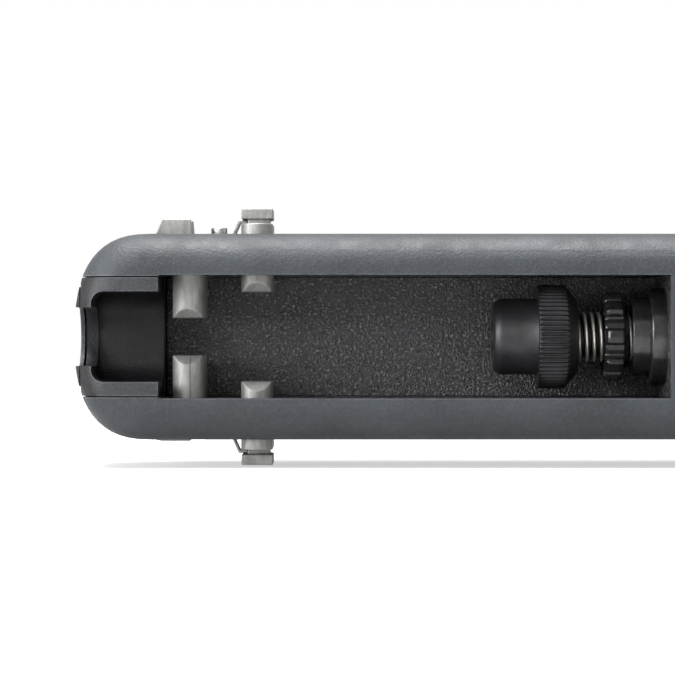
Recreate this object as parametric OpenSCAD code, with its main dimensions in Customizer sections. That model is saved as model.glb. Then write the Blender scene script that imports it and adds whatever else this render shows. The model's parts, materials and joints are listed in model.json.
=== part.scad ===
// Coaxial compression crimping tool.
// X runs along the crimp axis, from the nose (-X) to the handles (+X). The mouth faces -Y and the
// moving handle is on the +Y side. Z is the direction across the flanks. The origin is on the crimp
// axis, in the middle of the front cable jaws.

/* [Body] */
// Width from flank to flank
body_w = 25.2; // [25:0.1:26]
// Crimp axis to the rim of the mouth
rim_h = 9.5; // [9.3:0.1:10]
// Crimp axis to the back face of the head
back_h = 17.5; // [17.3:0.1:18.5]
// Front jaws to the tip of the nose
nose_len = 13.9; // [13.7:0.1:14.4]
// Front jaws to the end of the fixed handle
tail_x = 188; // [187:1:190]
// Width of the connector cavity
cavity_w = 15; // [14.8:0.1:15.1]
// Front jaws to the end wall of the cavity
cavity_end = 58.7; // [58.5:0.1:59]

/* [Jaws] */
// Thickness of a jaw along the crimp axis
jaw_t = 3.9; // [3.6:0.1:4]
// Front jaws to rear jaws
jaw_pitch = 8.4; // [8.4:0.1:8.8]
// Radius of the cable notch
notch_r = 3.45; // [3.3:0.05:3.5]
// Half the gap between closed jaws
lip_z = 2.3; // [2.2:0.05:2.4]
// How far each rear jaw stands open around a connector sleeve
jaw_open = 3.2; // [3:0.1:3.3]

/* [Plunger] */
// Radius of the plunger rod
rod_r = 4.9; // [4.8:0.1:5]
// Radius of the adjusting screw, a quarter-inch thread with 28 turns to the inch
screw_r = 3.1; // [3:0.05:3.15]
// Radius of the knurled tip
tip_r = 6.4; // [6.2:0.05:6.6]
// Radius of the pilot that enters a connector
pilot_r = 4.7; // [4.5:0.1:4.8]
// Radius of the bore for the centre conductor
tip_bore_r = 2; // [1.8:0.1:2.2]
// Lobes of the star lock nut
star_lobes = 8; // [7:1:10]

/* [Drive] */
// Handle pivot to link pin
crank_r = 12; // [12:0.1:12.2]
// Link pin to cross pin
link_len = 16; // [16:0.1:16.3]
// Travel of the moving handle, in degrees
handle_travel = 38; // [36:1:38]
// Half the thickness of the lever plate
lever_z = 2.8; // [2.6:0.1:2.8]

/* [Latch] */
// Reach of the wire bail
bail_reach = 27; // [27:0.1:27.3]
// Radius of the bail wire
wire_r = 1.1; // [1:0.05:1.15]

/* [Hidden] */

$fn = 64;
black = [0.1, 0.1, 0.11];
shell_grey = [0.3, 0.33, 0.35];
zinc = [0.62, 0.62, 0.6];
steel = [0.45, 0.45, 0.47];

// Clearances
seat = 0.15;                       // between pieces fixed to each other
slide_gap = 0.25;                  // around a sliding jaw
pin_gap = 0.04;                    // around a turning pin

// Casing
half_w = body_w / 2;
cav_z = cavity_w / 2;
wall = 1.6;                        // cheek of the frame
frame_z = cav_z + wall;
shell_in = frame_z + seat;         // inner half width of the shells
lip_h = 0.9;                       // shell lip over the edge of the frame
frame_top = rim_h - lip_h;
frame_x = -3.3;                    // the frame starts where the nose guide ends
floor_y = 8.5;                     // crimp axis to the cavity floor
floor_t = 1.7;
block_t = 3.7;                     // block that carries the plunger bushing
nose_wall = 1.4;
nose_floor = 4.9;
nose_slot = 5.5;                   // half width of the slot in the nose
cable_slot = 3.6;                  // half width of the cable notch in the nose
head_end = 98;
handle_start = 92;
handle_back = 5.5;                 // crimp axis to the back of the fixed handle
screw_at = [[22, 13.5], [48, 13.5], [118, -2], [160, -2]];
screw_r_body = 1.5;
head_r = 2.8;
head_t = 2;
nut_r = 3.1;
boss_r = 3.2;
lanyard = [182.3, 1];
lanyard_r = 2.5;

// Jaws
jaw_front = -5.2;                  // front and back faces of a jaw blade
jaw_back = 6;
tab_y = [-2.5, 5];                 // thumb tab outside the flank
head_z = 1.3;                      // thickness of the head of a rear tab
groove_z = 0.6;                    // groove under it, for the spring
spring_t = 0.4;
spring_y = [-0.5, 3];
rivet_at = [3.6, 1.25];            // rivet of a jaw spring
rivet_head = [1.5, 0.6];           // height of the upper and the lower rivet head
scoop_r = 6;                       // finger scoop around the front tabs
scoop_z = half_w + 4.6;

// Plunger, from front to back
pilot_x = 37.5;
knurl_x = [43, 46.4];
tip_back = 48;
star_x = [51.1, 54.1];
star_r = 5.5;
rod_front = 54.6;
screw_x = [44.5, 60.4];
bush_r = rod_r + 1.2;
bush_x = [cavity_end - 2, cavity_end + block_t];

// Drive: the crank stands square to the crimp axis halfway, so the plunger moves evenly
half_travel = handle_travel / 2;
cross_x = cavity_end + 15.7;       // cross pin at rest
link_x = cross_x + link_len;       // link pin at rest
pivot_x = link_x - crank_r * sin(half_travel);
pivot_y = crank_r * (1 + cos(half_travel)) / 2;
link_y = pivot_y - crank_r * cos(half_travel);
pin_r = 2;
pivot_r = 2.5;
hub_r = 6.2;
link_r = 3.7;
link_z = [lever_z + seat, lever_z + 2.2];
link_play = 0.4;                   // play of the cross pin in the plunger

// Moving handle, described in its closed position
grip_x = [104, 184];
grip_y = [9.2, 20];
grip_z = 10;
grip_swell = 2;
core_y = [11.5, 17.5];
rivet_x = [120, 168];
spring_wire_r = 0.45;

// Latch
bail_at = [178, -5];
bail_z = half_w + wire_r + 0.4;
bail_rest = -2;                    // angle of the folded bail

function arc(cx, cy, r, from, to, n = 8) =
    [for (i = [0:n]) let (a = from + (to - from) * i / n) [cx + r * cos(a), cy + r * sin(a)]];

// Rounded section across the body, as (y, z) points
function section(top, bottom, hz, r_top, r_bottom) = concat(
    arc(top + r_top, -hz + r_top, r_top, 180, 270),
    arc(bottom - r_bottom, -hz + r_bottom, r_bottom, 270, 360),
    arc(bottom - r_bottom, hz - r_bottom, r_bottom, 0, 90),
    arc(top + r_top, hz - r_top, r_top, 90, 180));

// Places (y, z) points and extrudes them along X
module along_x(x0, x1) {
    translate([x0, 0, 0]) rotate([90, 0, 90]) linear_extrude(x1 - x0) children();
}
// Places (x, z) points and extrudes them along Y, between two places
module along_y(y0, y1) {
    translate([0, y1, 0]) rotate([90, 0, 0]) linear_extrude(y1 - y0) children();
}
module cyl_z(x, y, z0, z1, r) {
    translate([x, y, z0]) cylinder(h = z1 - z0, r = r);
}
module cyl_x(x0, x1, r, y = 0, z = 0) {
    translate([x0, y, z]) rotate([0, 90, 0]) cylinder(h = x1 - x0, r = r);
}
module box(a, b) {
    translate(a) cube([b[0] - a[0], b[1] - a[1], b[2] - a[2]]);
}
module lower() {
    mirror([0, 0, 1]) children();
}

// Round wire swept along points, with flat ends
function unit(v) = v / norm(v);
function tangent(p, i) = unit(p[min(i + 1, len(p) - 1)] - p[max(i - 1, 0)]);
module wire(p, r, up, sides = 8) {
    n = len(p);
    rings = [for (i = [0:n - 1]) let (t = tangent(p, i), s = unit(cross(t, up)), u = cross(s, t))
        for (k = [0:sides - 1]) p[i] + r * (cos(360 * k / sides) * s + sin(360 * k / sides) * u)];
    walls = [for (i = [0:n - 2]) for (k = [0:sides - 1]) let (a = i * sides + k,
        b = i * sides + (k + 1) % sides) [a, b, b + sides, a + sides]];
    polyhedron(rings, concat([[for (k = [sides - 1:-1:0]) k]], walls,
        [[for (k = [0:sides - 1]) (n - 1) * sides + k]]));
}

// ---------------------------------------------------------------- casing
// Nose in plan: a superellipse that runs into the straight flanks, drawn some way inside the outline
nose_power = 2.6;
nose_reach = 9.6;
nose_steps = 28;
function signed_pow(v, p) = sign(v) * pow(abs(v), p);
function plan(x0, x1, inset) = concat(
    [for (i = [0:nose_steps]) let (a = 90 + 180 * i / nose_steps)
        [x0 + nose_reach + (nose_reach - inset) * signed_pow(cos(a), 2 / nose_power),
        (half_w - inset) * signed_pow(sin(a), 2 / nose_power)]],
    arc(x1 - 6, -half_w + 6, 6 - inset, 270, 360), arc(x1 - 6, half_w - 6, 6 - inset, 0, 90));

// Head: the plan lofted from the mouth side to the back, with its edges rounded all the way round
edge_front = 4.2;
edge_back = 3.2;
module head_body() {
    rings = concat([for (a = [90:-15:0]) [-rim_h + edge_front * (1 - sin(a)), edge_front * (1 - cos(a))]],
        [for (a = [0:18:90]) [back_h - edge_back * (1 - sin(a)), edge_back * (1 - cos(a))]]);
    n = len(plan(-nose_len, head_end, 0));
    points = [for (r = rings) for (p = plan(-nose_len, head_end, r[1])) [p[0], r[0], p[1]]];
    sides = [for (i = [0:len(rings) - 2]) for (k = [0:n - 1]) for (t = [0, 1]) let (a = i * n + k,
        b = i * n + (k + 1) % n) t == 0 ? [a, b, b + n] : [a, b + n, a + n]];
    polyhedron(points, concat([[for (k = [n - 1:-1:0]) k]], sides,
        [[for (k = [0:n - 1]) (len(rings) - 1) * n + k]]));
}
module handle_body() {
    intersection() {
        along_x(handle_start - 12, tail_x)
            polygon(section(-rim_h, handle_back + 1.2, half_w, edge_front, 5));
        along_y(-rim_h, back_h) polygon(concat([[0, half_w], [0, -half_w]],
            arc(tail_x - 6, -half_w + 6, 6, 270, 360), arc(tail_x - 6, half_w - 6, 6, 0, 90)));
    }
}

// Side view: the nose slopes on the back, and the handle has a shallow waist on both sides
function back_line(x) = handle_back + 1.2 * pow((x - 142) / 40, 2);
function front_line(x) = -rim_h + 1.5 * pow(sin(180 * (x - 100) / (tail_x - 107)), 2);
nose_slope = [28, 14.5];
profile = concat(
    [for (a = [90:-7.5:7.5]) [14 - nose_slope[0] * cos(a), 3 + nose_slope[1] * sin(a)]],
    [[-nose_len - 0.1, -rim_h - 0.1], [96, -rim_h - 0.1]],
    [for (x = [100:6:tail_x - 10]) [x, front_line(x)]],
    arc(tail_x - 7, -rim_h + 7, 7, 270, 360),
    arc(tail_x - 6, back_line(tail_x - 7) - 6, 6, 0, 80),
    [for (x = [tail_x - 7:-6:106]) [x, back_line(x)]],
    arc(handle_start - 1.5, back_h - 7.5, 7.5, 20, 90));

module body_outer() {
    intersection() {
        union() {
            head_body();
            handle_body();
        }
        translate([0, 0, -half_w]) linear_extrude(body_w) polygon(profile);
    }
}
module head_space() {
    difference() {
        union() {
            box([frame_x - 0.1, -frame_top - seat, -shell_in],
                [cavity_end + block_t + 0.2, floor_y + floor_t + seat, shell_in]);
            box([16, 0, -shell_in], [cavity_end + block_t, back_h - 2, shell_in]);
        }
        for (i = [0, 1]) cyl_z(screw_at[i][0], screw_at[i][1], -half_w, half_w, boss_r);
    }
    box([cavity_end + 3.2, -7.4, -shell_in], [pivot_x + 9.5, back_h - 1.3, shell_in]);
}
module handle_space() {
    difference() {
        box([pivot_x + 9, -7.4, -shell_in], [tail_x - 13, handle_back - 2, shell_in]);
        for (i = [2, 3]) cyl_z(screw_at[i][0], screw_at[i][1], -half_w, half_w, boss_r);
    }
}
// Opening at the back of the head through which the lever swings
module lever_slot() {
    box([cross_x - 2, 3, -lever_z - 0.6], [head_end + 1, back_h + 1, lever_z + 0.6]);
}
module nose_opening() {
    box([-nose_len + 0.6, -rim_h - 1, -cav_z + seat], [frame_x, nose_floor + seat, cav_z - seat]);
    box([-nose_len - 1, -rim_h - 1, -cav_z + seat], [-nose_len + 1, -5, cav_z - seat]);
    box([-nose_len - 1, -6, -cable_slot], [-nose_len + 1, 0, cable_slot]);
    cyl_x(-nose_len - 1, -nose_len + 1, cable_slot);
}
module jaw_window(x) {
    box([x - jaw_t / 2 - slide_gap, jaw_front - slide_gap, 0], [x + jaw_t / 2 + slide_gap,
        jaw_back + slide_gap, half_w + 1]);
}
module half_shell() {
    difference() {
        intersection() {
            body_outer();
            box([-nose_len - 1, -rim_h - 1, 0], [tail_x + 1, back_h + 1, half_w + 1]);
        }
        head_space();
        handle_space();
        lever_slot();
        nose_opening();
        box([frame_x - 0.1, -rim_h - 1, -cav_z], [cavity_end, 0, cav_z]);
        jaw_window(0);
        jaw_window(jaw_pitch);
        // finger scoop and the pocket of the jaw spring
        along_y(-4, 7) translate([-0.5, scoop_z]) circle(scoop_r);
        box([-1.5, spring_y[0] - 0.2, half_w - 1], [jaw_pitch, spring_y[1] + 0.2, half_w + 1]);
        cyl_z(rivet_at[0], rivet_at[1], half_w - 2.8, half_w, 0.7);
        // handle pivot, bail and lanyard
        cyl_z(pivot_x, pivot_y, 0, half_w + 1, pivot_r + pin_gap);
        cyl_z(pivot_x, pivot_y, half_w - 1.8, half_w + 1, 4.8);
        cyl_z(bail_at[0], bail_at[1], half_w - 3.6, half_w + 1, wire_r + pin_gap);
        cyl_z(lanyard[0], lanyard[1], -1, half_w + 1, lanyard_r);
        for (s = screw_at) cyl_z(s[0], s[1], -1, half_w, screw_r_body + 0.1);
    }
}
module upper_shell() {
    color(shell_grey) difference() {
        half_shell();
        for (s = screw_at) cyl_z(s[0], s[1], half_w - head_t - 0.6, half_w + 1, head_r + 0.2);
    }
}
module lower_shell() {
    color(shell_grey) lower() difference() {
        half_shell();
        for (s = screw_at) translate([s[0], s[1], half_w - 3]) cylinder(h = 4, r = nut_r + 0.15, $fn = 6);
    }
}
module shell_screws() {
    color(steel) for (s = screw_at) difference() {
        union() {
            cyl_z(s[0], s[1], -half_w + 0.8, half_w - 1, screw_r_body);
            cyl_z(s[0], s[1], half_w - head_t - 0.6, half_w - 0.6, head_r);
        }
        translate([s[0], s[1], half_w - 1.9]) cylinder(h = 3, r = 1.3, $fn = 6);
    }
}
module shell_nuts() {
    color(steel) lower() for (s = screw_at) difference() {
        translate([s[0], s[1], half_w - 3]) cylinder(h = 2.3, r = nut_r, $fn = 6);
        cyl_z(s[0], s[1], 0, half_w, screw_r_body);
    }
}

// ---------------------------------------------------------------- frame
module side_plate() {
    shoulder = cavity_end + block_t;
    rear = pivot_x + 8.5;
    difference() {
        translate([0, 0, cav_z]) linear_extrude(wall) polygon([[frame_x, -frame_top],
            [shoulder, -frame_top], [shoulder, -7], [rear, -7], [rear, back_h - 2.2],
            [shoulder, back_h - 2.2], [shoulder, floor_y + floor_t], [frame_x, floor_y + floor_t]]);
        jaw_window(0);
        jaw_window(jaw_pitch);
        cyl_z(pivot_x, pivot_y, 0, half_w, pivot_r + pin_gap);
    }
}
module upper_side_plate() {
    color(black) side_plate();
}
module lower_side_plate() {
    color(black) lower() side_plate();
}
module cradle_floor() {
    color(black) box([frame_x, floor_y, -cav_z], [cavity_end, floor_y + floor_t, cav_z]);
}
module plunger_block() {
    color(black) difference() {
        box([cavity_end, -frame_top, -cav_z], [cavity_end + block_t, floor_y + floor_t, cav_z]);
        cyl_x(cavity_end - 1, cavity_end + block_t + 1, bush_r);
    }
}
module guide_bushing() {
    color(steel) difference() {
        cyl_x(bush_x[0], bush_x[1], bush_r);
        cyl_x(bush_x[0] - 1, bush_x[1] + 1, rod_r + pin_gap);
    }
}
module nose_guide() {
    front = -nose_len + 0.9;
    inner = front + nose_wall;
    color(black) difference() {
        intersection() {
            body_outer();
            box([front, -rim_h, -cav_z + 2 * seat], [frame_x - seat, nose_floor, cav_z - 2 * seat]);
        }
        // slot with round corners, and the notch in the front wall
        along_y(-rim_h - 1, 0) translate([inner, -nose_slot]) {
                translate([1.5, 0]) square([10, 2 * nose_slot]);
                translate([0, 1.5]) square([10, 2 * nose_slot - 3]);
                for (z = [1.5, 2 * nose_slot - 1.5]) translate([1.5, z]) circle(1.5);
            }
        along_x(inner, frame_x + 1) polygon(section(-1, nose_floor - 1, nose_slot, 0.5, 3));
        box([front - 2, -rim_h - 1, -cable_slot], [inner + 1, 0, cable_slot]);
        cyl_x(front - 2, inner + 1, cable_slot);
    }
}

// ---------------------------------------------------------------- jaws
// Blade with a rounded front edge, a half-round notch and a lead-in chamfer on its lip
module jaw_blade(z_out) {
    difference() {
        translate([0, 0, lip_z]) linear_extrude(z_out - lip_z) union() {
            translate([0, jaw_front + jaw_t / 2]) circle(jaw_t / 2);
            translate([-jaw_t / 2, jaw_front + jaw_t / 2]) square([jaw_t, jaw_back - jaw_front - jaw_t / 2]);
        }
        cyl_x(-jaw_t, jaw_t, notch_r);
        translate([0, jaw_front, lip_z]) rotate([45, 0, 0]) cube([2 * jaw_t, 1.6, 1.6], center = true);
    }
}
module front_jaw(tab_out) {
    jaw_blade(half_w - 1.7);
    // thumb tab, set toward the nose
    difference() {
        along_y(tab_y[0], tab_y[1] + 1) polygon([[-jaw_t / 2, half_w - 1.7], [-jaw_t / 2, half_w - 0.9],
            [-2.7, half_w - 0.5], [-4.1, half_w + 0.15], [-3.3, tab_out], [0.2, tab_out], [0.5, half_w - 1.7]]);
        // seat for the end of the jaw spring
        box([-0.9, spring_y[0] - 0.3, half_w - 1.1], [2, spring_y[1] + 0.3, half_w + 3]);
    }
}
module rear_jaw() {
    neck_z = half_w - head_z - groove_z;
    jaw_blade(neck_z);
    difference() {
        box([-jaw_t / 2, tab_y[0], half_w - 3], [jaw_t / 2, tab_y[1], half_w]);
        box([-jaw_t, tab_y[0] - 1, neck_z], [-jaw_t / 2 + 0.8, tab_y[1] + 1, half_w - head_z]);
        box([jaw_t / 2 - 0.4, tab_y[0] - 1, neck_z], [jaw_t, tab_y[1] + 1, half_w - head_z]);
        // the groove goes on across the front, above a hollow between the two legs of the neck
        box([-jaw_t, tab_y[0] - 1, neck_z], [jaw_t, tab_y[0] + 0.5, half_w - head_z]);
        box([-0.7, tab_y[0] - 1, half_w - 2.9], [0.7, tab_y[0] + 0.5, neck_z + 0.01]);
    }
}
module front_upper_jaw() {
    color(zinc) front_jaw(half_w + 1.9);
}
module front_lower_jaw() {
    color(zinc) lower() front_jaw(half_w + 0.25);
}
module rear_upper_jaw() {
    color(zinc) translate([jaw_pitch, 0, jaw_open]) rear_jaw();
}
module rear_lower_jaw() {
    color(zinc) lower() translate([jaw_pitch, 0, jaw_open]) rear_jaw();
}
// Leaf spring: flat in its pocket, then up the ramp into the groove of the open rear jaw
module jaw_spring() {
    base = half_w - 1;
    foot = [5.2, base];
    tip = [jaw_pitch - jaw_t / 2 + 0.7, half_w + jaw_open - head_z - groove_z / 2 - spring_t / 2];
    up = [0, spring_t];
    difference() {
        along_y(spring_y[0], spring_y[1])
            polygon([[-0.6, base], foot, tip - [0.9, 0], tip, tip + up, tip - [1.1, 0] + up, foot + up - [0.2, 0],
                [-0.6, base + spring_t]]);
        cyl_z(rivet_at[0], rivet_at[1], base - 1, base + 1, 0.7);
    }
}
module upper_jaw_spring() {
    color(steel) jaw_spring();
}
module lower_jaw_spring() {
    color(steel) lower() jaw_spring();
}
module spring_rivets() {
    under_head = half_w - 1 + spring_t;
    color(zinc) for (s = [0, 1]) mirror([0, 0, s]) {
        cyl_z(rivet_at[0], rivet_at[1], half_w - 2.8, under_head + 0.1, 0.65);
        cyl_z(rivet_at[0], rivet_at[1], under_head, under_head + rivet_head[s], 1);
    }
}

// ---------------------------------------------------------------- plunger
module plunger_rod() {
    tongue_x = bush_x[1] + 1.5;
    color(steel) difference() {
        union() {
            cyl_x(rod_front, tongue_x, rod_r);
            intersection() {
                cyl_x(tongue_x - 1, cross_x, rod_r);
                box([tongue_x - 1, -rod_r, -lever_z], [cross_x, rod_r, lever_z]);
            }
            intersection() {
                cyl_z(cross_x, 0, -lever_z, lever_z, 4.4);
                box([cross_x - 5, -rod_r, -lever_z], [cross_x + 5, rod_r, lever_z]);
            }
        }
        cyl_x(rod_front - 1, screw_x[1] + 2.3, screw_r + pin_gap);
        cyl_z(cross_x, 0, -rod_r, rod_r, pin_r + link_play);
    }
}
module adjusting_screw() {
    color(steel) cyl_x(screw_x[0], screw_x[1], screw_r);
}
module star_lock_nut() {
    color(black) difference() {
        intersection() {
            cyl_x(star_x[0], star_x[1], star_r);
            union() {
                cyl_x(star_x[0] + 1, star_x[1] - 0.4, star_r);
                translate([star_x[0] - 0.01, 0, 0]) rotate([0, 90, 0])
                    cylinder(h = 1.02, r1 = star_r - 1, r2 = star_r);
                translate([star_x[1] - 0.41, 0, 0]) rotate([0, 90, 0])
                    cylinder(h = 0.42, r1 = star_r, r2 = star_r - 0.5);
            }
        }
        for (i = [0:star_lobes - 1]) rotate([360 * (i + 0.5) / star_lobes, 0, 0])
            cyl_x(star_x[0] - 1, star_x[1] + 1, 1, star_r + 0.25, 0);
        cyl_x(star_x[0] - 1, star_x[1] + 1, screw_r + pin_gap);
    }
}
module knurled_tip() {
    color(black) difference() {
        union() {
            cyl_x(pilot_x + 0.8, knurl_x[0] + 1, pilot_r);
            translate([pilot_x, 0, 0]) rotate([0, 90, 0])
                cylinder(h = 0.81, r1 = pilot_r - 0.7, r2 = pilot_r);
            cyl_x(knurl_x[0], knurl_x[1], tip_r);
            translate([knurl_x[1] - 0.01, 0, 0]) rotate([0, 90, 0])
                cylinder(h = tip_back - knurl_x[1], r1 = tip_r, r2 = 4.4);
        }
        cyl_x(pilot_x - 1, screw_x[0] - 0.5, tip_bore_r);
        cyl_x(screw_x[0] - 0.51, tip_back + 1, screw_r + 0.01);
    }
}
// Headed pin across the links
module headed_pin(x, y, r) {
    cyl_z(x, y, -link_z[1] - 0.5, link_z[1] + 0.2, r);
    cyl_z(x, y, link_z[1] + 0.15, link_z[1] + 1.3, r + 1);
    cyl_z(x, y, -link_z[1] - 1.1, -link_z[1] - 0.15, r + 0.7);
}
module cross_pin() {
    color(zinc) headed_pin(cross_x, link_y, pin_r);
}
module link_pin() {
    color(zinc) headed_pin(link_x, link_y, pin_r);
}

// ---------------------------------------------------------------- drive
module link_plate() {
    y = link_y;
    difference() {
        union() {
            cyl_z(cross_x, y, link_z[0], link_z[1], link_r);
            cyl_z(link_x, y, link_z[0], link_z[1], link_r);
            box([cross_x, y - link_r + 0.6, link_z[0]], [link_x, y + link_r - 0.6, link_z[1]]);
        }
        cyl_z(cross_x, y, 0, 10, pin_r + pin_gap);
        cyl_z(link_x, y, 0, 10, pin_r + pin_gap);
    }
}
module upper_link_plate() {
    color(zinc) link_plate();
}
module lower_link_plate() {
    color(zinc) lower() link_plate();
}

// Turns what is drawn closed to its open rest position
module opened() {
    translate([pivot_x, pivot_y, 0]) rotate(handle_travel) translate([-pivot_x, -pivot_y, 0]) children();
}
closed_link = [pivot_x - crank_r * sin(half_travel), link_y];
module lever_core() {
    tail = grip_x[1] - 5;
    color(steel) opened() translate([0, 0, -lever_z]) difference() {
        linear_extrude(2 * lever_z) union() {
            translate([pivot_x, pivot_y]) circle(hub_r);
            translate([pivot_x, pivot_y]) rotate(270 - half_travel)
                translate([0, -link_r + 0.5]) square([crank_r, 2 * link_r - 1]);
            translate(closed_link) circle(link_r);
            polygon(concat([[pivot_x, pivot_y - hub_r + 0.7], [grip_x[0], core_y[0]]],
                arc(tail, core_y[0] + 3, 3, 270, 360, 6), arc(tail, core_y[1] - 3, 3, 0, 90, 6),
                [[grip_x[0], core_y[1]], [pivot_x, pivot_y + hub_r - 0.5]]));
        }
        cyl_z(pivot_x, pivot_y, -1, 10, pivot_r + pin_gap);
        cyl_z(closed_link[0], closed_link[1], -1, 10, pin_r + pin_gap);
        for (x = rivet_x) cyl_z(x, (core_y[0] + core_y[1]) / 2, -1, 10, pin_r + 0.02);
    }
}
// Side view of the grip, with a swell for the palm
function palm_line(x) = grip_y[1] + grip_swell * sin(180 * (x - grip_x[0] - 6) / (grip_x[1] - grip_x[0] - 16));
grip_outline = concat(
    arc(grip_x[0] + 3, grip_y[1] - 3, 3, 100, 180), arc(grip_x[0] + 3, grip_y[0] + 3, 3, 180, 270),
    arc(grip_x[1] - 4, grip_y[0] + 4, 4, 270, 360), arc(grip_x[1] - 5, grip_y[1] - 5, 5, 0, 90),
    [for (x = [grip_x[1] - 10:-6:grip_x[0] + 6]) [x, palm_line(x)]]);
module grip_half() {
    difference() {
        intersection() {
            linear_extrude(grip_z) polygon(grip_outline);
            along_x(grip_x[0] - 1, grip_x[1] + 1)
                polygon(section(grip_y[0], grip_y[1] + grip_swell, grip_z, 4, 4.5));
            along_y(0, 30) polygon(concat([[grip_x[0], -1], [grip_x[1], -1]],
                arc(grip_x[1] - 5, grip_z - 5, 5, 0, 90), arc(grip_x[0] + 3, grip_z - 3, 3, 90, 180)));
        }
        box([grip_x[0] - 5, core_y[0] - 0.1, -1], [grip_x[1] - 1.9, core_y[1] + 0.1, lever_z + 0.05]);
        for (x = rivet_x) {
            cyl_z(x, (core_y[0] + core_y[1]) / 2, -1, 20, pin_r + 0.02);
            cyl_z(x, (core_y[0] + core_y[1]) / 2, grip_z - 1.2, 20, pin_r + 1.3);
        }
    }
}
module upper_handle_grip() {
    color(shell_grey) opened() grip_half();
}
module lower_handle_grip() {
    color(shell_grey) opened() lower() grip_half();
}
module grip_rivets() {
    color(zinc) opened() for (x = rivet_x) {
        cyl_z(x, (core_y[0] + core_y[1]) / 2, -grip_z + 0.4, grip_z - 0.4, pin_r);
        for (s = [0, 1]) mirror([0, 0, s])
            cyl_z(x, (core_y[0] + core_y[1]) / 2, grip_z - 1.2, grip_z - 0.2, pin_r + 1.1);
    }
}
module handle_pivot() {
    color(zinc) difference() {
        union() {
            cyl_z(pivot_x, pivot_y, -half_w + 0.4, half_w - 1, pivot_r);
            cyl_z(pivot_x, pivot_y, half_w - 1.8, half_w - 0.3, 4.5);
        }
        translate([pivot_x, pivot_y, -half_w + 0.9]) rotate_extrude()
            translate([pivot_r - 0.5, 0]) square([2, 0.7]);
    }
}
module pivot_clip() {
    color(steel) difference() {
        cyl_z(pivot_x, pivot_y, -half_w + 0.95, -half_w + 1.55, 4.2);
        cyl_z(pivot_x, pivot_y, -half_w, -half_w + 2, pivot_r - 0.45);
        box([pivot_x - 1.2, pivot_y - 6, -half_w], [pivot_x + 1.2, pivot_y, -half_w + 2]);
    }
}
// Sleeve that keeps the lever centred, on the side without the spring
module pivot_spacer() {
    color(steel) difference() {
        cyl_z(pivot_x, pivot_y, -cav_z + 0.05, -lever_z - 0.1, pivot_r + 1.6);
        cyl_z(pivot_x, pivot_y, -10, 0, pivot_r + pin_gap);
    }
}
module handle_return_spring() {
    turns = 3;
    coil_r = 3.7;
    steps = 16;
    z0 = lever_z + spring_wire_r + 0.2;
    z1 = cav_z - spring_wire_r - 0.1;
    coil = [for (i = [0:turns * steps]) let (a = 200 + 360 * i / steps)
        [pivot_x + coil_r * cos(a), pivot_y + coil_r * sin(a), z0 + (z1 - z0) * i / (turns * steps)]];
    color(steel) wire(coil, spring_wire_r, [0, 0, 1], 6);
}

// ---------------------------------------------------------------- latch
module latch_bail() {
    reach = bail_reach;
    z_in = half_w - 3.3;
    r = 3;
    half_path = concat([[0, 0, z_in], [0, 0, bail_z - 1.2]],
        [for (a = [30:30:90]) [1.2 - 1.2 * cos(a), 0, bail_z - 1.2 + 1.2 * sin(a)]],
        [for (a = [0:18:90]) [reach - r + r * sin(a), 0, bail_z - r + r * cos(a)]]);
    n = len(half_path);
    path = concat(half_path, [for (i = [n - 1:-1:0]) [half_path[i][0], 0, -half_path[i][2]]]);
    color(steel) translate([bail_at[0], bail_at[1], 0]) rotate(bail_rest) wire(path, wire_r, [0, 1, 0], 10);
}

upper_side_plate();
lower_side_plate();
cradle_floor();
plunger_block();
guide_bushing();
nose_guide();
upper_shell();
lower_shell();
shell_screws();
shell_nuts();
upper_jaw_spring();
lower_jaw_spring();
spring_rivets();
front_upper_jaw();
front_lower_jaw();
rear_upper_jaw();
rear_lower_jaw();
plunger_rod();
cross_pin();
adjusting_screw();
star_lock_nut();
knurled_tip();
upper_link_plate();
lower_link_plate();
link_pin();
lever_core();
upper_handle_grip();
lower_handle_grip();
grip_rivets();
handle_pivot();
pivot_clip();
pivot_spacer();
handle_return_spring();
latch_bail();
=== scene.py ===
# %% [markdown]
# # A coaxial compression crimping tool
# The tool lies on its flank with its connector mouth toward the camera. Its working pieces come from
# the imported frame, each in its place. This lesson gives every piece the surface it has on a bench:
# moulded plastic, die-cast zinc, black oxide, plated pins, a cut thread and a straight knurl.

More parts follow.
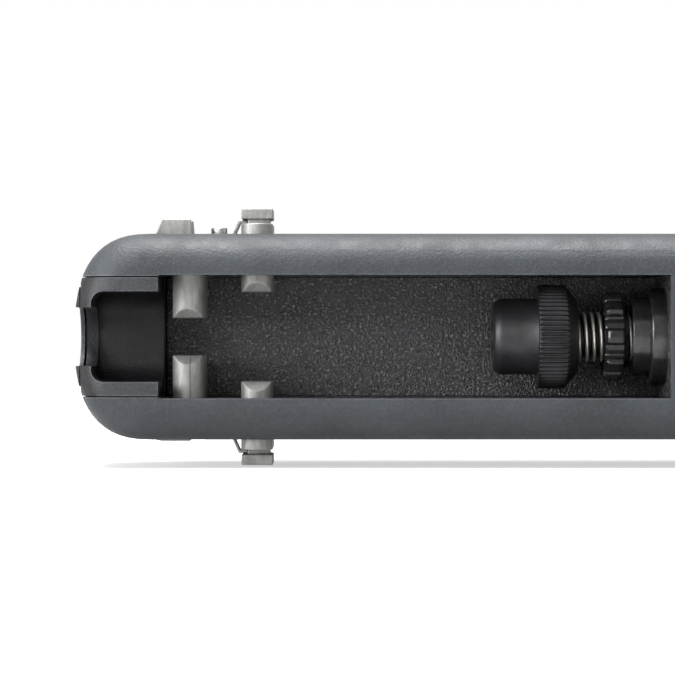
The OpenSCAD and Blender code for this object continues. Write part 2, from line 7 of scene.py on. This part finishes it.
# %% Load the frame
import json
import bpy
import numpy as np
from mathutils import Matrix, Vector


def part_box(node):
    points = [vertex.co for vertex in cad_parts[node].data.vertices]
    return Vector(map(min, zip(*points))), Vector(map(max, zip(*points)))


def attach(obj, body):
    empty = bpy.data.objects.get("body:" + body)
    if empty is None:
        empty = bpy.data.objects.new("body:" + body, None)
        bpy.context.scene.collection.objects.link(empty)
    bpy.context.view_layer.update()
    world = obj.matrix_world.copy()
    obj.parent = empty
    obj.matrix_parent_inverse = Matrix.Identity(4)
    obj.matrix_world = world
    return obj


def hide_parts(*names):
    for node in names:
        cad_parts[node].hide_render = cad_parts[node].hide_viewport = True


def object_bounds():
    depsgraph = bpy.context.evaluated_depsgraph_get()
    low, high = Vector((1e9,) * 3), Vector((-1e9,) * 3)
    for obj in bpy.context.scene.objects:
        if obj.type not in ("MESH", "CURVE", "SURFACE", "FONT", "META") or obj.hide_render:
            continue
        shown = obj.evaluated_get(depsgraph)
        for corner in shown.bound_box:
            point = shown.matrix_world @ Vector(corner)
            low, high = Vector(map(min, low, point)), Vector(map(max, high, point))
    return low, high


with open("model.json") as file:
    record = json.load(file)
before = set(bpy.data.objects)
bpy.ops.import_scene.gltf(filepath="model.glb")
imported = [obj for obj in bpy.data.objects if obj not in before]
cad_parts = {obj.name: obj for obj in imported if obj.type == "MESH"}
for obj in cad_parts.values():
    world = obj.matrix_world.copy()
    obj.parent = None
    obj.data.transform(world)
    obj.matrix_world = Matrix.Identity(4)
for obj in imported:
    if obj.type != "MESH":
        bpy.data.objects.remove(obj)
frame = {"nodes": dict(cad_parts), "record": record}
cad_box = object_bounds()
MM = 0.001
TURN = 2 * np.pi
bodies = frame["record"]["behaviour"]["bodies"]
body_of = {node: body for body, nodes in bodies.items() for node in nodes}
slot_of = {part["node"]: part["material_slot"] for part in frame["record"]["subparts"]}
low, high = (np.array(corner) for corner in cad_box)
print("frame size in mm:", np.round((high - low) / MM, 1), "pieces:", len(frame["nodes"]))

# %% [markdown]
# ## Where things are
# Each piece is asked for its box, so a place is never typed twice. The crimp axis is the X axis.

# %% Places along the crimp axis
def span(node, axis):
    """Lowest and highest coordinate of a frame node along one axis (0 is X, 1 is Y, 2 is Z)."""
    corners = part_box(node)
    return corners[0][axis], corners[1][axis]


tip_x = span("knurled_tip", 0)
nut_x = span("star_lock_nut", 0)
screw_x = span("adjusting_screw", 0)
cavity_end = span("plunger_block", 0)[0]
nose_x = span("upper_shell", 0)[0]
print("cavity from", round(nose_x / MM, 1), "to", round(cavity_end / MM, 1), "mm")

# %% [markdown]
# ## The camera
# A long lens looks straight into the mouth, as one looks down on a tool on a bench. The handles run out
# of the picture on the right.

# %% Camera
VIEW_CENTRE = Vector((18.3, 0.0, -0.1)) * MM
VIEW_WIDTH = 83.7 * MM      # width of the picture in the plane of the crimp axis
VIEW_DISTANCE = 390 * MM

camera_data = bpy.data.cameras.new("camera")
camera_data.sensor_width = 36
camera_data.lens = camera_data.sensor_width * VIEW_DISTANCE / VIEW_WIDTH
camera_data.clip_start = 0.01
camera = bpy.data.objects.new("camera", camera_data)
camera.location = VIEW_CENTRE - Vector((0, VIEW_DISTANCE, 0))
camera.rotation_euler = (np.pi / 2, 0, 0)
bpy.context.scene.collection.objects.link(camera)
bpy.context.scene.camera = camera
print("lens", round(camera_data.lens, 1), "mm")

# %% [markdown]
# ## Floor and light
# A pale floor, softly lit from below like a light table, and a bright sky keep the surroundings plain and
# the shadows thin. One large soft light stands above and slightly
# in front, so the upper flank is lighter than the lower one. A lamp on the left brightens the nose and the
# faces that look toward it. A small one near the lens reaches into the cavity and makes the sparks on the
# coat, the lobes and the thread.

# %% Floor, sky and lamps
FLOOR_GAP = 0.2 * MM        # under the lowest point of the tool


def make_floor(size=1.3):
    """A square of the given side in the plane of the lowest point: four corners and one face."""
    half = size / 2
    z = low[2] - FLOOR_GAP
    mesh = bpy.data.meshes.new("floor")
    corners = [(-half, -half, z), (half, -half, z), (half, half, z), (-half, half, z)]
    mesh.from_pydata(corners, [], [(0, 1, 2, 3)])
    floor = bpy.data.objects.new("floor", mesh)
    bpy.context.scene.collection.objects.link(floor)
    return floor


def add_lamp(name, place, aim, size, power):
    """A square area lamp at a place, turned toward an aim point. Places are in metres."""
    lamp_data = bpy.data.lights.new(name, "AREA")
    lamp_data.shape = "RECTANGLE"
    lamp_data.size, lamp_data.size_y = size
    lamp_data.energy = power
    lamp = bpy.data.objects.new(name, lamp_data)
    lamp.location = place
    lamp.rotation_euler = (Vector(aim) - Vector(place)).to_track_quat("-Z", "Y").to_euler()
    bpy.context.scene.collection.objects.link(lamp)
    return lamp


world = bpy.data.worlds.new("studio")
world.use_nodes = True
world.node_tree.nodes["Background"].inputs["Color"].default_value = (1.0, 1.0, 1.0, 1)
world.node_tree.nodes["Background"].inputs["Strength"].default_value = 1.0
bpy.context.scene.world = world
bpy.context.scene.view_settings.view_transform = "Standard"
floor = make_floor()
MIDDLE = (0.03, 0, 0)
add_lamp("key", (-0.05, -0.09, 0.80), MIDDLE, (0.5, 0.4), 25)
add_lamp("nose", (-0.55, -0.32, 0.10), MIDDLE, (0.4, 0.5), 9)
add_lamp("front", (-0.14, -0.60, 0.20), MIDDLE, (0.09, 0.09), 0.62)

# %% [markdown]
# ## A small kit for materials
# A finish is a Principled shader with a few nodes in front of it. The helpers below add one noise, one
# colour ramp or one bump at a time, always on Object coordinates, so the grain has its real size.

# %% Node helpers
class Finish:
    """A material under construction: .shader is its Principled BSDF, .link joins sockets."""

    def __init__(self, name, color, metallic=0.0, roughness=0.5):
        self.material = bpy.data.materials.new(name)
        self.material.use_nodes = True
        self.tree = self.material.node_tree
        self.shader = self.tree.nodes["Principled BSDF"]
        self.shader.inputs["Metallic"].default_value = metallic
        self.shader.inputs["Roughness"].default_value = roughness
        self.shader.inputs["Base Color"].default_value = (*color, 1)
        self.material.diffuse_color = (*color, 1)
        self.place = self.add("ShaderNodeTexCoord").outputs["Object"]

    def add(self, kind, **values):
        node = self.tree.nodes.new(kind)
        for name, value in values.items():
            setattr(node, name, value)
        return node

    def link(self, output, socket):
        self.tree.links.new(output, socket)

    def stretched(self, scale):
        """Object coordinates multiplied by a scale on each axis, to draw a grain out along one of them."""
        mapping = self.add("ShaderNodeMapping")
        mapping.inputs["Scale"].default_value = scale
        self.link(self.place, mapping.inputs["Vector"])
        return mapping.outputs["Vector"]

    def noise(self, size_mm, detail=3.0, rough=0.55, along=None):
        """Noise whose patches are about size_mm across."""
        node = self.add("ShaderNodeTexNoise")
        node.inputs["Scale"].default_value = 1 / (size_mm * MM)
        node.inputs["Detail"].default_value = detail
        node.inputs["Roughness"].default_value = rough
        self.link(self.stretched(along) if along else self.place, node.inputs["Vector"])
        return node.outputs["Fac"]

    def ramp(self, factor, stops):
        """Colour or grey by factor. stops are (position, colour) with colour a grey or an RGB."""
        node = self.add("ShaderNodeValToRGB")
        band = node.color_ramp.elements
        while len(band) < len(stops):
            band.new(0.5)
        for element, (position, color) in zip(band, stops):
            element.position = position
            element.color = (color, color, color, 1) if np.isscalar(color) else (*color, 1)
        self.link(factor, node.inputs["Fac"])
        return node.outputs["Color"]

    def mix(self, factor, first, second):
        """First colour where factor is 0, second where it is 1. Either may be a socket or an RGB."""
        node = self.add("ShaderNodeMix", data_type="RGBA")
        self.link(factor, node.inputs["Factor"])
        for socket, value in ((node.inputs[6], first), (node.inputs[7], second)):
            if isinstance(value, tuple):
                socket.default_value = (*value, 1)
            else:
                self.link(value, socket)
        return node.outputs[2]

    def math(self, operation, first, second):
        node = self.add("ShaderNodeMath", operation=operation)
        for socket, value in zip(node.inputs, (first, second)):
            if isinstance(value, (int, float)):
                socket.default_value = value
            else:
                self.link(value, socket)
        return node.outputs[0]

    def wear_and_highlight_edges(self, radius_mm=0.25, breakup_mm=0.8):
        """1 on sharp outer edges, 0 elsewhere: how far a bevelled normal leans from the real one, broken
        up by noise."""
        bevel = self.add("ShaderNodeBevel", samples=4)
        bevel.inputs["Radius"].default_value = radius_mm * MM
        geometry = self.add("ShaderNodeNewGeometry")
        dot = self.add("ShaderNodeVectorMath", operation="DOT_PRODUCT")
        self.link(bevel.outputs["Normal"], dot.inputs[0])
        self.link(geometry.outputs["Normal"], dot.inputs[1])
        lean = self.math("SUBTRACT", 1.0, dot.outputs["Value"])
        ragged = self.math("MULTIPLY", lean, self.ramp(self.noise(breakup_mm), [(0.35, 0.0), (0.6, 1.0)]))
        return self.ramp(ragged, [(0.02, 0.0), (0.2, 1.0)])

    def bump(self, height, depth_mm, strength=1.0, over=None):
        """Normal bent by a height map whose full range is depth_mm. over is an earlier bump's normal."""
        node = self.add("ShaderNodeBump")
        node.inputs["Distance"].default_value = depth_mm * MM
        node.inputs["Strength"].default_value = strength
        self.link(height, node.inputs["Height"])
        if over is not None:
            self.link(over, node.inputs["Normal"])
        return node.outputs["Normal"]

    def done(self, color=None, roughness=None, normal=None, metallic=None):
        for output, name in ((color, "Base Color"), (roughness, "Roughness"), (normal, "Normal"),
                             (metallic, "Metallic")):
            if output is not None:
                self.link(output, self.shader.inputs[name])
        return self.material


print("finish helpers ready")

# %% [markdown]
# ## Moulded casing
# Glass-filled nylon comes out of a spark-eroded mould with a fine grain. Three noises do it: one the size of
# the grain, one drawn out along the tool as the melt flowed, and a large one for the cloudiness of handling.

# %% Plastics
def moulded_plastic(name, dark, light, grain_mm, grain_depth_mm, painted_shade_below_mm=None):
    """Grain as bump, colour drifting between dark and light, edges rubbed paler and smoother. Surfaces
    more than the given depth behind the rim of the mouth are painted near black: a painted shade for the
    inside of the nose slot."""
    finish = Finish(name, light, roughness=0.5)
    cloud = finish.noise(9.0, detail=4)
    grain = finish.noise(grain_mm, detail=2, rough=0.6)
    flow = finish.noise(1.3, detail=3, along=(0.35, 1, 1))
    color = finish.mix(finish.ramp(cloud, [(0.35, 0.0), (0.65, 1.0)]), dark, light)
    speck = finish.ramp(grain, [(0.45, 0.0), (0.75, 0.35)])
    color = finish.mix(speck, color, tuple(min(1.0, c * 1.6 + 0.01) for c in light))
    edge = finish.wear_and_highlight_edges(0.35, 1.5)
    color = finish.mix(edge, color, tuple(min(1.0, c * 1.7 + 0.02) for c in light))
    if painted_shade_below_mm is not None:
        axes = finish.add("ShaderNodeSeparateXYZ")
        finish.link(finish.place, axes.inputs[0])
        depth = finish.math("SUBTRACT", axes.outputs["Y"], float(low[1]))
        deep = finish.math("DIVIDE", depth, 2 * painted_shade_below_mm * MM)
        # Painted shade: behind the rim of the mouth the colour fades to near black, in place of the shade
        # inside the nose slot.
        color = finish.mix(finish.ramp(deep, [(0.25, 0.0), (0.5, 1.0)]), color, (0.003, 0.003, 0.004))
    roughness = finish.ramp(finish.noise(2.5), [(0.3, 0.50), (0.7, 0.64)])
    normal = finish.bump(grain, grain_depth_mm, 0.55)
    normal = finish.bump(flow, 0.12, 0.28, over=normal)
    finish.shader.inputs["Specular IOR Level"].default_value = 0.28
    return finish.done(color, roughness, normal)


shell_plastic = moulded_plastic("shell_plastic", (0.0155, 0.018, 0.0205), (0.023, 0.0265, 0.030),
                                grain_mm=0.33, grain_depth_mm=0.12)
nose_plastic = moulded_plastic("nose_plastic", (0.0125, 0.0135, 0.0155), (0.0215, 0.023, 0.0265),
                               grain_mm=0.3, grain_depth_mm=0.14, painted_shade_below_mm=1.0)
print("plastics:", shell_plastic.name, nose_plastic.name)

# %% [markdown]
# ## Black castings and plates
# The walls of the cavity carry a black wrinkle coat. A light grey on its small crests is a painted highlight
# standing in for the sparkles of light on them.

# %% Wrinkle coat
def wrinkle_coat():
    finish = Finish("wrinkle_coat", (0.012, 0.012, 0.013), roughness=0.4)
    wrinkle = finish.noise(0.34, detail=2, rough=0.7)
    crest_highlight = finish.ramp(wrinkle, [(0.57, 0.0), (0.66, 1.0)])
    # Painted highlight: light grey on the wrinkle crests in place of the sparkles of light on a black coat.
    color = finish.mix(crest_highlight, (0.016, 0.016, 0.018), (0.190, 0.190, 0.202))
    roughness = finish.ramp(finish.noise(1.5), [(0.3, 0.22), (0.7, 0.36)])
    finish.shader.inputs["Specular IOR Level"].default_value = 0.5
    return finish.done(color, roughness, finish.bump(wrinkle, 0.30, 1.0))


wrinkle_black = wrinkle_coat()
print("coat:", wrinkle_black.name)

# %% [markdown]
# ## Die-cast zinc
# The jaws are cast and left bare. The skin is dull and finely pitted, with flow lines along the jaw, and it
# is brighter where it rubs. One jaw shows the fine line where the two halves of its die met.

# %% Bare zinc
def bare_zinc(name, parting_mm=None):
    """Cast skin. parting_mm is where the two halves of the die met, seen as a fine dark line across X."""
    finish = Finish(name, (0.26, 0.26, 0.25), metallic=0.7, roughness=0.55)
    cloud = finish.noise(1.6, detail=5)
    pits = finish.noise(0.10, detail=2)
    color = finish.mix(finish.ramp(cloud, [(0.3, 0.0), (0.7, 1.0)]), (0.17, 0.17, 0.166), (0.26, 0.26, 0.248))
    color = finish.mix(finish.ramp(pits, [(0.62, 0.0), (0.75, 0.6)]), color, (0.10, 0.10, 0.095))
    flow = finish.noise(0.45, detail=4, along=(1, 1, 0.15))
    color = finish.mix(finish.ramp(flow, [(0.38, 0.55), (0.55, 0.0)]), color, (0.13, 0.135, 0.135))
    color = finish.mix(finish.wear_and_highlight_edges(0.12, 0.5), color, (0.48, 0.48, 0.46))
    if parting_mm is not None:
        axes = finish.add("ShaderNodeSeparateXYZ")
        finish.link(finish.place, axes.inputs[0])
        away = finish.math("ABSOLUTE", finish.math("SUBTRACT", axes.outputs["X"], parting_mm * MM), 0.0)
        seam = finish.ramp(finish.math("DIVIDE", away, 0.1 * MM), [(0.4, 0.8), (0.9, 0.0)])
        color = finish.mix(seam, color, (0.05, 0.05, 0.05))
    roughness = finish.ramp(cloud, [(0.3, 0.46), (0.7, 0.62)])
    normal = finish.bump(pits, 0.02, 0.6)
    normal = finish.bump(cloud, 0.05, 0.3, over=normal)
    return finish.done(color, roughness, normal)


jaw_zinc = bare_zinc("bare_zinc")
parted_zinc = bare_zinc("parted_zinc", parting_mm=0.26)
print("zinc:", jaw_zinc.name, parted_zinc.name)

# %% [markdown]
# ## Steels
# One function makes them all: a colour that drifts, fine scratches drawn along an axis, and brighter edges.
# The thread has its own finish, with painted shade in its valleys and a painted highlight on its crests.

# %% Steel finishes
def steel(name, dark, light, roughness, scratch_along, edge, scratch_depth_mm=0.006, metallic=1.0):
    finish = Finish(name, light, metallic=metallic, roughness=roughness)
    cloud = finish.noise(2.2, detail=4)
    scratch = finish.noise(0.12, detail=3, along=scratch_along)
    color = finish.mix(finish.ramp(cloud, [(0.3, 0.0), (0.7, 1.0)]), dark, light)
    color = finish.mix(finish.wear_and_highlight_edges(0.10, 0.6), color, edge)
    rough = finish.ramp(scratch, [(0.3, max(0.05, roughness - 0.08)), (0.7, roughness + 0.08)])
    return finish.done(color, rough, finish.bump(scratch, scratch_depth_mm, 0.6))


bright_zinc = steel("bright_zinc", (0.28, 0.285, 0.29), (0.38, 0.375, 0.365), 0.34, (1, 1, 0.15),
                    (0.55, 0.55, 0.54))
spring_steel = steel("spring_steel", (0.19, 0.188, 0.182), (0.27, 0.267, 0.258), 0.30, (0.12, 1, 1),
                     (0.5, 0.5, 0.48))
black_oxide = steel("black_oxide", (0.012, 0.012, 0.013), (0.024, 0.024, 0.027), 0.42, (1, 0.3, 0.3),
                    (0.20, 0.20, 0.21), metallic=0.6)
# Painted highlight: the rod's light edge colour (0.6) paints a bright ring on its edges in place of their
# reflection.
rod_steel = steel("rod_steel", (0.030, 0.030, 0.031), (0.060, 0.060, 0.062), 0.22, (1, 0.1, 0.1),
                  (0.6, 0.6, 0.6), metallic=0.8)


def rolled_thread(inner_mm=2.62, outer_mm=3.0):
    """Painted shade in the valleys and a painted highlight on the crests: colour by the distance from the
    axis.
    """
    finish = Finish("rolled_thread", (0.4, 0.38, 0.35), metallic=0.85, roughness=0.42)
    distance = finish.add("ShaderNodeVectorMath", operation="LENGTH")
    finish.link(finish.stretched((0, 1, 1)), distance.inputs[0])
    height = finish.math("SUBTRACT", distance.outputs["Value"], inner_mm * MM)
    crest_highlight = finish.math("DIVIDE", height, (outer_mm - inner_mm) * MM)
    highlight_breakup = finish.ramp(finish.noise(0.5), [(0.3, 0.75), (0.6, 1.0)])
    crest_highlight = finish.math("MULTIPLY", finish.ramp(crest_highlight, [(0.25, 0.0), (1.0, 1.0)]), highlight_breakup)
    # Painted shade and highlight: near black in the thread's valleys, light steel grey on its crests, broken
    # up at random.
    color = finish.mix(crest_highlight, (0.012, 0.011, 0.011), (0.62, 0.59, 0.54))
    scratch = finish.noise(0.12, detail=3, along=(1, 0.3, 0.3))
    roughness = finish.ramp(scratch, [(0.3, 0.36), (0.7, 0.5)])
    return finish.done(color, roughness, finish.bump(scratch, 0.006, 0.6))


def gloss_lacquer():
    """Thick black lacquer: a glossy skin with a faint orange peel."""
    finish = Finish("gloss_black", (0.006, 0.006, 0.007), roughness=0.12)
    finish.shader.inputs["Specular IOR Level"].default_value = 0.34
    peel = finish.noise(0.5, detail=2)
    color = finish.mix(finish.ramp(finish.noise(1.2), [(0.3, 0.0), (0.7, 1.0)]), (0.004, 0.004, 0.005),
                       (0.012, 0.012, 0.013))
    return finish.done(color, finish.ramp(peel, [(0.3, 0.08), (0.7, 0.18)]), finish.bump(peel, 0.02, 0.4))


gloss_black = gloss_lacquer()
finishes = {"black_cast": wrinkle_black, "nose_plastic": nose_plastic, "shell_plastic": shell_plastic,
            "jaw_zinc": jaw_zinc, "spring_steel": spring_steel, "bright_zinc": bright_zinc,
            "black_oxide": black_oxide, "gloss_black": gloss_black,
            "rod_steel": rod_steel}
floor_finish = Finish("pale_floor", (0.55, 0.55, 0.55), roughness=0.6)
floor_finish.done(floor_finish.ramp(floor_finish.noise(400.0), [(0.3, 0.29), (0.7, 0.31)]))
floor_finish.shader.inputs["Emission Color"].default_value = (1, 1, 1, 1)
floor_finish.shader.inputs["Emission Strength"].default_value = 0.5
floor.data.materials.append(floor_finish.material)
print("finishes:", sorted(finishes))

# %% [markdown]
# ## Surfaces of revolution
# The screw, tip and nut are turned pieces, so each is drawn as a grid: columns run round the crimp axis and
# rows run along an outline. A ridge, lobe or thread is a radius that depends on both.

# %% Turned grids
def turned(x, r, angle):
    """Points (x, r cos a, r sin a) for every row and column. x and r are (rows, columns) arrays in metres
    and angle is one row of a."""
    x, r, angle = np.broadcast_arrays(x, r, angle)
    return np.stack([x, r * np.cos(angle), r * np.sin(angle)], axis=-1)


def quads(rows, columns, loop):
    """Corner numbers of the faces between neighbouring rows and columns. The last column always joins the
    first; with loop the last row joins the first too."""
    row = np.arange(rows if loop else rows - 1)[:, None]
    column = np.arange(columns)[None, :]
    after, beside = (row + 1) % rows, (column + 1) % columns
    corners = [row * columns + column, after * columns + column, after * columns + beside,
               row * columns + beside]
    return np.stack(np.broadcast_arrays(*corners), axis=-1).reshape(-1, 4)


def make_piece(name, points, finish, loop=True, poles=None):
    """Mesh object from a grid of points (rows, columns, 3). poles are the two centre points that close the
    ends of a grid that doesn't loop."""
    rows, columns = points.shape[:2]
    corners = points.reshape(-1, 3)
    faces = quads(rows, columns, loop).tolist()
    if poles is not None:
        column = np.arange(columns)
        beside = (column + 1) % columns
        first, last = rows * columns, rows * columns + 1
        end = (rows - 1) * columns
        corners = np.vstack([corners, poles])
        faces += np.stack([np.full(columns, first), column, beside], axis=-1).tolist()
        faces += np.stack([end + column, np.full(columns, last), end + beside], axis=-1).tolist()
    mesh = bpy.data.meshes.new(name)
    mesh.from_pydata(corners.tolist(), [], faces)
    mesh.polygons.foreach_set("use_smooth", np.ones(len(faces), bool))
    mesh.materials.append(finish)
    piece = bpy.data.objects.new(name, mesh)
    bpy.context.scene.collection.objects.link(piece)
    return piece


def stand_for(piece, node):
    """Lets a piece take the place of a frame node and move with the node's body."""
    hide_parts(node)
    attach(piece, body_of[node])
    print(piece.name, "has", len(piece.data.polygons), "faces and replaces", node)


def around(columns):
    """Angles of the columns of a grid, one full turn."""
    return np.arange(columns) * TURN / columns


SCREW_R = (span("adjusting_screw", 1)[1] - span("adjusting_screw", 1)[0]) / 2
print("screw radius in mm:", round(SCREW_R / MM, 2))

# %% [markdown]
# ## Adjusting screw
# A rolled thread. Along the screw the phase counts turns, so a right-hand thread is phase = x / pitch minus
# angle / full turn. The triangle wave of the phase, cut off above and below, is the 60 degree profile.

# %% Thread
PITCH = 0.907 * MM
THREAD_DEPTH = 0.6 * MM


def threaded_screw():
    """r = R - depth (1 - w), where w is the triangle wave of x / pitch - a / 2 pi stretched by 1.5 about its
    middle and clipped to 0..1. Both ends are cut back by a 45 degree chamfer."""
    x = np.linspace(screw_x[0], screw_x[1], 300)[:, None]
    angle = around(72)[None, :]
    phase = (x / PITCH - angle / TURN) % 1
    wave = np.clip(0.5 + 1.5 * (0.5 - np.abs(2 * phase - 1)), 0, 1)
    radius = SCREW_R - THREAD_DEPTH * (1 - wave)
    chamfer = SCREW_R - 0.7 * MM + np.minimum(x - screw_x[0], screw_x[1] - x)
    poles = [(screw_x[0], 0, 0), (screw_x[1], 0, 0)]
    points = turned(x, np.minimum(radius, chamfer), angle)
    return make_piece("threaded_screw", points, rolled_thread(), False, poles)


stand_for(threaded_screw(), "adjusting_screw")

# %% [markdown]
# ## Knurled tip
# A straight knurl gives a grip for finger and thumb. It is pressed before the rear chamfer is turned, so the
# ridges run out against the cone. In the grid, the smaller of ridge and cone wins.

# %% Straight knurl
RIDGES = 62
RIDGE_DEPTH = 0.30 * MM


def knurled_tip():
    """Outline (x, r) turned about the axis; between the knurl's ends r = min(outline, R - depth v^2), where
    v = |sin(31 a)| is 0 on a ridge and 1 in a valley."""
    x0, x1 = tip_x
    bore, seat, pilot, top = 2.0 * MM, SCREW_R + 0.02 * MM, 4.7 * MM, span("knurled_tip", 1)[1]
    cone_end = 4.4 * MM
    shoulder, step = x0 + 5.5 * MM, 0.25 * MM
    cone_start = x1 - 1.6 * MM
    flat = np.linspace(shoulder + step, cone_start, 5)
    cone = np.linspace(0, 1, 7)[1:]
    rows = [(x0, bore), (x0, pilot - 0.7 * MM), (x0 + 0.25 * MM, pilot - 0.4 * MM),
            (x0 + 0.8 * MM, pilot - 0.06 * MM), (x0 + 1.1 * MM, pilot),
            (shoulder - 0.05 * MM, pilot), (shoulder, pilot + 0.05 * MM),
            (shoulder, top - step), (shoulder + 0.3 * step, top - 0.3 * step)]
    rows += [(x, top) for x in flat]
    rows += [(cone_start + k * (x1 - cone_start), top + k * (cone_end - top)) for k in cone]
    rows += [(x1, seat), (x0 + 6.5 * MM, seat), (x0 + 6.5 * MM, bore)]
    outline = np.array(rows)
    angle = around(RIDGES * 8)[None, :]
    valley = np.sin(RIDGES * angle / 2) ** 2
    x, r = outline[:, :1], outline[:, 1:]
    knurl = (x > shoulder + 0.1 * MM) & (r > pilot)
    radius = np.where(knurl, np.minimum(r, top - RIDGE_DEPTH * valley), r)
    return make_piece("knurled_tip_ridges", turned(x, radius, angle)[::-1], black_oxide)


stand_for(knurled_tip(), "knurled_tip")

# %% [markdown]
# ## Star lock nut
# The nut is gripped by its lobes. Its front face is dished and the lobes are chamfered, which is what throws
# the small bright flashes in the black lacquer.

# %% Lobes and dish
def star_nut(lobes=8):
    """Outline turned about the axis with r = r0 + lift * L, where c = clip(0.35 + 1.8 cos(8 a), 0, 1) and
    L = c^2 (3 - 2 c) is 1 on a lobe and 0 between lobes."""
    x0, x1 = nut_x
    top = span("star_lock_nut", 1)[1]
    root, bore = top - 1.3 * MM, SCREW_R + 0.05 * MM
    rows = [  # x, radius between lobes, further radius on a lobe
        (x0 + 1.0 * MM, bore, 0), (x0 + 0.7 * MM, root - 0.75 * MM, 0),
        (x0 + 0.15 * MM, root - 0.45 * MM, 0.35 * MM),
        (x0, root - 0.30 * MM, 0.75 * MM), (x0 + 0.12 * MM, root - 0.12 * MM, 0.95 * MM),
        (x0 + 0.55 * MM, root, 1.25 * MM), (x0 + 0.8 * MM, root, 1.3 * MM), (x0 + 1.5 * MM, root, 1.3 * MM),
        (x1 - 0.9 * MM, root, 1.3 * MM), (x1 - 0.6 * MM, root, 1.1 * MM),
        (x1 - 0.45 * MM, root - 0.1 * MM, 0.5 * MM),
        (x1 - 0.4 * MM, root - 0.25 * MM, 0), (x1 - 0.1 * MM, root - 0.3 * MM, 0), (x1, root - 0.4 * MM, 0),
        (x1, bore, 0)]
    x, base, lift = np.array(rows).T[:, :, None]
    angle = around(lobes * 24)[None, :]
    lobe = np.clip(0.35 + 1.8 * np.cos(lobes * angle), 0, 1)
    lobe = lobe * lobe * (3 - 2 * lobe)
    return make_piece("star_nut_lobes", turned(x, base + lift * lobe, angle)[::-1], gloss_black)


stand_for(star_nut(), "star_lock_nut")

# %% [markdown]
# ## Wire pieces
# The bail and the return spring are bent from round wire. A wire is a circle carried along a path: at each
# path point one direction lies across the path and another completes the frame.

# %% Bent wire
def wire_grid(path, radius, up, columns=16):
    """Points p + r (s cos a + u sin a). s is the unit vector across the path and up, u completes the
    frame."""
    tangent = np.gradient(path, axis=0)
    tangent /= np.linalg.norm(tangent, axis=1, keepdims=True)
    across = np.cross(tangent, up)
    across /= np.linalg.norm(across, axis=1, keepdims=True)
    upward = np.cross(across, tangent)
    angle = around(columns)[None, :, None]
    return path[:, None] + radius * (np.cos(angle) * across[:, None] + np.sin(angle) * upward[:, None])


def return_spring(turns=3):
    """Coil about the handle pivot: p = centre + R (cos a, sin a), climbing along Z as a grows."""
    corners = np.array(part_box("handle_return_spring"))
    wire = 0.45 * MM
    centre = corners.mean(axis=0)
    coil = corners[1, 0] - centre[0] - wire
    angle = np.radians(200) + np.linspace(0, turns * TURN, 40 * turns)
    z = np.linspace(corners[0, 2] + wire, corners[1, 2] - wire, len(angle))
    path = np.stack([centre[0] + coil * np.cos(angle), centre[1] + coil * np.sin(angle), z], axis=1)
    poles = [path[0], path[-1]]
    points = wire_grid(path, wire * 0.99, (0, 0, 1), 12)
    return make_piece("coiled_spring", points, spring_steel, False, poles)


def wire_bail(reach=27 * MM, leg_bend=1.2 * MM, corner_bend=3 * MM, eye=9.3 * MM, half_width=14.1 * MM):
    """Half of the loop in its own plane (x, z): out of the eye, round a small bend, along the leg and round
    the corner, each bend a quarter circle c + r (cos a, sin a). The other half is its mirror in z."""
    angle = np.radians(np.linspace(0, 90, 10))[:, None]
    leg = np.hstack([leg_bend * (1 - np.cos(angle)), half_width - leg_bend * (1 - np.sin(angle))])
    corner = np.hstack([reach - corner_bend * (1 - np.sin(angle)),
                        half_width - corner_bend * (1 - np.cos(angle))])
    half = np.vstack([[[0, eye]], leg, corner])
    loop = np.vstack([half, half[::-1] * (1, -1)])
    lean = np.radians(-2)       # the folded bail hangs a little off the axis
    path = np.stack([loop[:, 0] * np.cos(lean), loop[:, 0] * np.sin(lean), loop[:, 1]], axis=1)
    path += np.array([178, -5, 0]) * MM     # hinge of the bail
    poles = [path[0], path[-1]]
    return make_piece("wire_bail", wire_grid(path, 1.09 * MM, (0, 1, 0)), spring_steel, False, poles)


stand_for(return_spring(), "handle_return_spring")
stand_for(wire_bail(), "latch_bail")

# %% [markdown]
# ## Finishing the frame's own nodes
# The frame arrives as loose triangles with knife edges. A stack of modifiers makes each node a part from a
# mould or a mill: Weld joins the triangles, Decimate in planar mode melts flat faces together, Bevel rounds
# the edges, and Weighted Normal keeps the large faces flat.

# %% Modifier stack
EDGE_MM = {"upper_shell": 0.45, "lower_shell": 0.45, "nose_guide": 0.4, "upper_handle_grip": 0.5,
           "lower_handle_grip": 0.5, "front_upper_jaw": 0.3, "front_lower_jaw": 0.3, "rear_upper_jaw": 0.18,
           "rear_lower_jaw": 0.18, "lever_core": 0.25, "plunger_rod": 0.5, "guide_bushing": 0.35}
PLAIN_EDGE_MM = 0.1
OWN_FINISH = {"front_lower_jaw": parted_zinc}


def finish_node(node):
    """Gives a frame node its finish, rounded edges and smooth shading."""
    thing = frame["nodes"][node]
    thing.data.materials.clear()
    thing.data.materials.append(OWN_FINISH.get(node, finishes[slot_of[node]]))
    faces = thing.data.polygons
    faces.foreach_set("use_smooth", np.ones(len(faces), bool))
    weld = thing.modifiers.new("weld", "WELD")
    weld.merge_threshold = 0.002 * MM
    melt = thing.modifiers.new("melt", "DECIMATE")
    melt.decimate_type = "DISSOLVE"
    melt.angle_limit = np.radians(0.6)
    bevel = thing.modifiers.new("edges", "BEVEL")
    bevel.width = EDGE_MM.get(node, PLAIN_EDGE_MM) * MM
    bevel.segments = 3
    bevel.limit_method = "ANGLE"
    bevel.angle_limit = np.radians(32)
    bevel.miter_outer = "MITER_ARC"
    weighted = thing.modifiers.new("shading", "WEIGHTED_NORMAL")
    weighted.keep_sharp = True


replaced = {"adjusting_screw", "knurled_tip", "star_lock_nut", "handle_return_spring", "latch_bail"}
for name in sorted(set(frame["nodes"]) - replaced):
    finish_node(name)
print("finished", len(frame["nodes"]) - len(replaced), "frame nodes and replaced", len(replaced))

# %% End
print("done")
